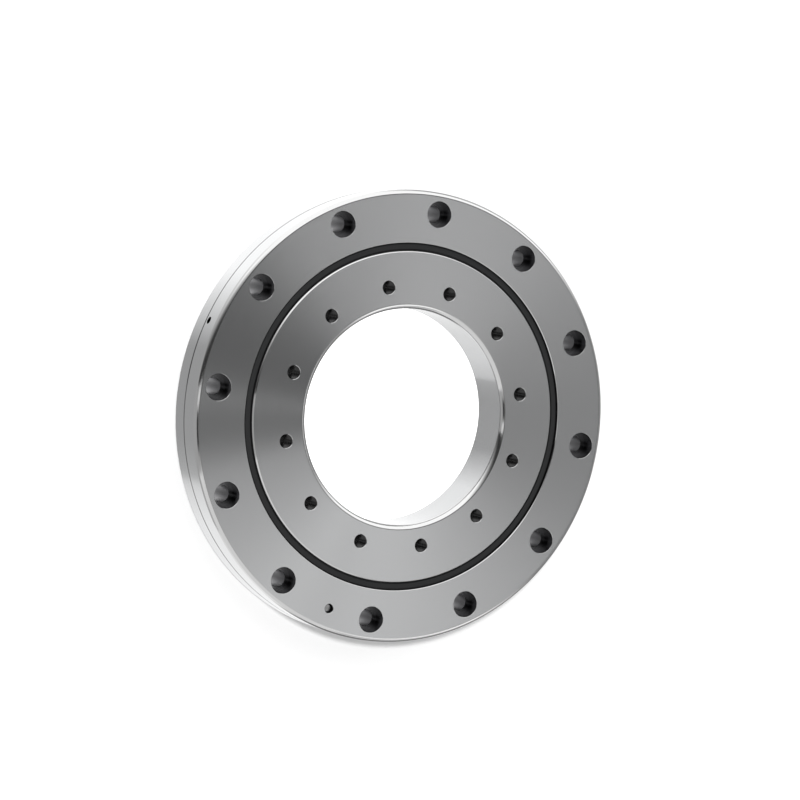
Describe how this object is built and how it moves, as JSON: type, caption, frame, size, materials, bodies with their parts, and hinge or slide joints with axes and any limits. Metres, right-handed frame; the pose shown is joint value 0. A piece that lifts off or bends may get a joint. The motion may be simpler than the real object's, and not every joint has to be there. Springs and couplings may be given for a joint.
{
  "type": "crossed roller bearing",
  "caption": "Crossed roller bearing with counterbored bolt holes in the outer ring, tapped holes in the inner ring and a rubber seal in the gap between them.",
  "frame": {"origin": "centre of the outer ring's back face, on the bearing's axis", "axes": "+Z along the axis of rotation, out of the counterbored front face; +X through one of the outer ring's bolt holes"},
  "size_m": [0.24, 0.24, 0.028],
  "materials": {
    "ring_steel": "ground",
    "roller_steel": "polished",
    "pin_steel": "turned",
    "seal_rubber": "matte",
    "spacer_plastic": "moulded"
  },
  "bodies": {
    "outer": {"outer_ring": "ring_steel", "front_seal": "seal_rubber", "rear_seal": "seal_rubber", "filling_plug": "ring_steel", "lock_pin": "pin_steel"},
    "inner": {"inner_ring": "ring_steel"},
    "cage": {"spacers": "spacer_plastic"},
    "roller_01": {"roller_01": "roller_steel"},
    "roller_02": {"roller_02": "roller_steel"},
    "roller_03": {"roller_03": "roller_steel"},
    "roller_04": {"roller_04": "roller_steel"},
    "roller_05": {"roller_05": "roller_steel"},
    "roller_06": {"roller_06": "roller_steel"},
    "roller_07": {"roller_07": "roller_steel"},
    "roller_08": {"roller_08": "roller_steel"},
    "roller_09": {"roller_09": "roller_steel"},
    "roller_10": {"roller_10": "roller_steel"},
    "roller_11": {"roller_11": "roller_steel"},
    "roller_12": {"roller_12": "roller_steel"},
    "roller_13": {"roller_13": "roller_steel"},
    "roller_14": {"roller_14": "roller_steel"},
    "roller_15": {"roller_15": "roller_steel"},
    "roller_16": {"roller_16": "roller_steel"},
    "roller_17": {"roller_17": "roller_steel"},
    "roller_18": {"roller_18": "roller_steel"},
    "roller_19": {"roller_19": "roller_steel"},
    "roller_20": {"roller_20": "roller_steel"},
    "roller_21": {"roller_21": "roller_steel"},
    "roller_22": {"roller_22": "roller_steel"},
    "roller_23": {"roller_23": "roller_steel"},
    "roller_24": {"roller_24": "roller_steel"},
    "roller_25": {"roller_25": "roller_steel"},
    "roller_26": {"roller_26": "roller_steel"},
    "roller_27": {"roller_27": "roller_steel"},
    "roller_28": {"roller_28": "roller_steel"},
    "roller_29": {"roller_29": "roller_steel"},
    "roller_30": {"roller_30": "roller_steel"},
    "roller_31": {"roller_31": "roller_steel"},
    "roller_32": {"roller_32": "roller_steel"},
    "roller_33": {"roller_33": "roller_steel"},
    "roller_34": {"roller_34": "roller_steel"},
    "roller_35": {"roller_35": "roller_steel"},
    "roller_36": {"roller_36": "roller_steel"}
  },
  "joints": [
    {"name": "inner_spin", "type": "hinge", "parent": "outer", "child": "inner", "pos_m": [0, 0, 0.014], "axis": [0, 0, 1], "continuous": true},
    {"name": "cage_spin", "type": "hinge", "parent": "outer", "child": "cage", "pos_m": [0, 0, 0.014], "axis": [0, 0, 1], "continuous": true},
    {"name": "roller_01_spin", "type": "hinge", "parent": "cage", "child": "roller_01", "pos_m": [0.089, 0, 0.014], "axis": [0.7071, 0, 0.7071], "continuous": true},
    {"name": "roller_02_spin", "type": "hinge", "parent": "cage", "child": "roller_02", "pos_m": [0.08765, 0.01545, 0.014], "axis": [-0.6964, -0.1228, 0.7071], "continuous": true},
    {"name": "roller_03_spin", "type": "hinge", "parent": "cage", "child": "roller_03", "pos_m": [0.08363, 0.03044, 0.014], "axis": [0.6645, 0.2418, 0.7071], "continuous": true},
    {"name": "roller_04_spin", "type": "hinge", "parent": "cage", "child": "roller_04", "pos_m": [0.07708, 0.0445, 0.014], "axis": [-0.6124, -0.3536, 0.7071], "continuous": true},
    {"name": "roller_05_spin", "type": "hinge", "parent": "cage", "child": "roller_05", "pos_m": [0.06818, 0.05721, 0.014], "axis": [0.5417, 0.4545, 0.7071], "continuous": true},
    {"name": "roller_06_spin", "type": "hinge", "parent": "cage", "child": "roller_06", "pos_m": [0.05721, 0.06818, 0.014], "axis": [-0.4545, -0.5417, 0.7071], "continuous": true},
    {"name": "roller_07_spin", "type": "hinge", "parent": "cage", "child": "roller_07", "pos_m": [0.0445, 0.07708, 0.014], "axis": [0.3536, 0.6124, 0.7071], "continuous": true},
    {"name": "roller_08_spin", "type": "hinge", "parent": "cage", "child": "roller_08", "pos_m": [0.03044, 0.08363, 0.014], "axis": [-0.2418, -0.6645, 0.7071], "continuous": true},
    {"name": "roller_09_spin", "type": "hinge", "parent": "cage", "child": "roller_09", "pos_m": [0.01545, 0.08765, 0.014], "axis": [0.1228, 0.6964, 0.7071], "continuous": true},
    {"name": "roller_10_spin", "type": "hinge", "parent": "cage", "child": "roller_10", "pos_m": [0, 0.089, 0.014], "axis": [0, -0.7071, 0.7071], "continuous": true},
    {"name": "roller_11_spin", "type": "hinge", "parent": "cage", "child": "roller_11", "pos_m": [-0.01545, 0.08765, 0.014], "axis": [-0.1228, 0.6964, 0.7071], "continuous": true},
    {"name": "roller_12_spin", "type": "hinge", "parent": "cage", "child": "roller_12", "pos_m": [-0.03044, 0.08363, 0.014], "axis": [0.2418, -0.6645, 0.7071], "continuous": true},
    {"name": "roller_13_spin", "type": "hinge", "parent": "cage", "child": "roller_13", "pos_m": [-0.0445, 0.07708, 0.014], "axis": [-0.3536, 0.6124, 0.7071], "continuous": true},
    {"name": "roller_14_spin", "type": "hinge", "parent": "cage", "child": "roller_14", "pos_m": [-0.05721, 0.06818, 0.014], "axis": [0.4545, -0.5417, 0.7071], "continuous": true},
    {"name": "roller_15_spin", "type": "hinge", "parent": "cage", "child": "roller_15", "pos_m": [-0.06818, 0.05721, 0.014], "axis": [-0.5417, 0.4545, 0.7071], "continuous": true},
    {"name": "roller_16_spin", "type": "hinge", "parent": "cage", "child": "roller_16", "pos_m": [-0.07708, 0.0445, 0.014], "axis": [0.6124, -0.3536, 0.7071], "continuous": true},
    {"name": "roller_17_spin", "type": "hinge", "parent": "cage", "child": "roller_17", "pos_m": [-0.08363, 0.03044, 0.014], "axis": [-0.6645, 0.2418, 0.7071], "continuous": true},
    {"name": "roller_18_spin", "type": "hinge", "parent": "cage", "child": "roller_18", "pos_m": [-0.08765, 0.01545, 0.014], "axis": [0.6964, -0.1228, 0.7071], "continuous": true},
    {"name": "roller_19_spin", "type": "hinge", "parent": "cage", "child": "roller_19", "pos_m": [-0.089, 0, 0.014], "axis": [-0.7071, 0, 0.7071], "continuous": true},
    {"name": "roller_20_spin", "type": "hinge", "parent": "cage", "child": "roller_20", "pos_m": [-0.08765, -0.01545, 0.014], "axis": [0.6964, 0.1228, 0.7071], "continuous": true},
    {"name": "roller_21_spin", "type": "hinge", "parent": "cage", "child": "roller_21", "pos_m": [-0.08363, -0.03044, 0.014], "axis": [-0.6645, -0.2418, 0.7071], "continuous": true},
    {"name": "roller_22_spin", "type": "hinge", "parent": "cage", "child": "roller_22", "pos_m": [-0.07708, -0.0445, 0.014], "axis": [0.6124, 0.3536, 0.7071], "continuous": true},
    {"name": "roller_23_spin", "type": "hinge", "parent": "cage", "child": "roller_23", "pos_m": [-0.06818, -0.05721, 0.014], "axis": [-0.5417, -0.4545, 0.7071], "continuous": true},
    {"name": "roller_24_spin", "type": "hinge", "parent": "cage", "child": "roller_24", "pos_m": [-0.05721, -0.06818, 0.014], "axis": [0.4545, 0.5417, 0.7071], "continuous": true},
    {"name": "roller_25_spin", "type": "hinge", "parent": "cage", "child": "roller_25", "pos_m": [-0.0445, -0.07708, 0.014], "axis": [-0.3536, -0.6124, 0.7071], "continuous": true},
    {"name": "roller_26_spin", "type": "hinge", "parent": "cage", "child": "roller_26", "pos_m": [-0.03044, -0.08363, 0.014], "axis": [0.2418, 0.6645, 0.7071], "continuous": true},
    {"name": "roller_27_spin", "type": "hinge", "parent": "cage", "child": "roller_27", "pos_m": [-0.01545, -0.08765, 0.014], "axis": [-0.1228, -0.6964, 0.7071], "continuous": true},
    {"name": "roller_28_spin", "type": "hinge", "parent": "cage", "child": "roller_28", "pos_m": [0, -0.089, 0.014], "axis": [0, 0.7071, 0.7071], "continuous": true},
    {"name": "roller_29_spin", "type": "hinge", "parent": "cage", "child": "roller_29", "pos_m": [0.01545, -0.08765, 0.014], "axis": [0.1228, -0.6964, 0.7071], "continuous": true},
    {"name": "roller_30_spin", "type": "hinge", "parent": "cage", "child": "roller_30", "pos_m": [0.03044, -0.08363, 0.014], "axis": [-0.2418, 0.6645, 0.7071], "continuous": true},
    {"name": "roller_31_spin", "type": "hinge", "parent": "cage", "child": "roller_31", "pos_m": [0.0445, -0.07708, 0.014], "axis": [0.3536, -0.6124, 0.7071], "continuous": true},
    {"name": "roller_32_spin", "type": "hinge", "parent": "cage", "child": "roller_32", "pos_m": [0.05721, -0.06818, 0.014], "axis": [-0.4545, 0.5417, 0.7071], "continuous": true},
    {"name": "roller_33_spin", "type": "hinge", "parent": "cage", "child": "roller_33", "pos_m": [0.06818, -0.05721, 0.014], "axis": [0.5417, -0.4545, 0.7071], "continuous": true},
    {"name": "roller_34_spin", "type": "hinge", "parent": "cage", "child": "roller_34", "pos_m": [0.07708, -0.0445, 0.014], "axis": [-0.6124, 0.3536, 0.7071], "continuous": true},
    {"name": "roller_35_spin", "type": "hinge", "parent": "cage", "child": "roller_35", "pos_m": [0.08363, -0.03044, 0.014], "axis": [0.6645, -0.2418, 0.7071], "continuous": true},
    {"name": "roller_36_spin", "type": "hinge", "parent": "cage", "child": "roller_36", "pos_m": [0.08765, -0.01545, 0.014], "axis": [-0.6964, 0.1228, 0.7071], "continuous": true}
  ],
  "couplings": [
    {"joint": "cage_spin", "follows": "inner_spin", "ratio": 0.47617},
    {"joint": "roller_01_spin", "follows": "inner_spin", "ratio": -7.3998},
    {"joint": "roller_02_spin", "follows": "inner_spin", "ratio": -7.3998},
    {"joint": "roller_03_spin", "follows": "inner_spin", "ratio": -7.3998},
    {"joint": "roller_04_spin", "follows": "inner_spin", "ratio": -7.3998},
    {"joint": "roller_05_spin", "follows": "inner_spin", "ratio": -7.3998},
    {"joint": "roller_06_spin", "follows": "inner_spin", "ratio": -7.3998},
    {"joint": "roller_07_spin", "follows": "inner_spin", "ratio": -7.3998},
    {"joint": "roller_08_spin", "follows": "inner_spin", "ratio": -7.3998},
    {"joint": "roller_09_spin", "follows": "inner_spin", "ratio": -7.3998},
    {"joint": "roller_10_spin", "follows": "inner_spin", "ratio": -7.3998},
    {"joint": "roller_11_spin", "follows": "inner_spin", "ratio": -7.3998},
    {"joint": "roller_12_spin", "follows": "inner_spin", "ratio": -7.3998},
    {"joint": "roller_13_spin", "follows": "inner_spin", "ratio": -7.3998},
    {"joint": "roller_14_spin", "follows": "inner_spin", "ratio": -7.3998},
    {"joint": "roller_15_spin", "follows": "inner_spin", "ratio": -7.3998},
    {"joint": "roller_16_spin", "follows": "inner_spin", "ratio": -7.3998},
    {"joint": "roller_17_spin", "follows": "inner_spin", "ratio": -7.3998},
    {"joint": "roller_18_spin", "follows": "inner_spin", "ratio": -7.3998},
    {"joint": "roller_19_spin", "follows": "inner_spin", "ratio": -7.3998},
    {"joint": "roller_20_spin", "follows": "inner_spin", "ratio": -7.3998},
    {"joint": "roller_21_spin", "follows": "inner_spin", "ratio": -7.3998},
    {"joint": "roller_22_spin", "follows": "inner_spin", "ratio": -7.3998},
    {"joint": "roller_23_spin", "follows": "inner_spin", "ratio": -7.3998},
    {"joint": "roller_24_spin", "follows": "inner_spin", "ratio": -7.3998},
    {"joint": "roller_25_spin", "follows": "inner_spin", "ratio": -7.3998},
    {"joint": "roller_26_spin", "follows": "inner_spin", "ratio": -7.3998},
    {"joint": "roller_27_spin", "follows": "inner_spin", "ratio": -7.3998},
    {"joint": "roller_28_spin", "follows": "inner_spin", "ratio": -7.3998},
    {"joint": "roller_29_spin", "follows": "inner_spin", "ratio": -7.3998},
    {"joint": "roller_30_spin", "follows": "inner_spin", "ratio": -7.3998},
    {"joint": "roller_31_spin", "follows": "inner_spin", "ratio": -7.3998},
    {"joint": "roller_32_spin", "follows": "inner_spin", "ratio": -7.3998},
    {"joint": "roller_33_spin", "follows": "inner_spin", "ratio": -7.3998},
    {"joint": "roller_34_spin", "follows": "inner_spin", "ratio": -7.3998},
    {"joint": "roller_35_spin", "follows": "inner_spin", "ratio": -7.3998},
    {"joint": "roller_36_spin", "follows": "inner_spin", "ratio": -7.3998}
  ]
}
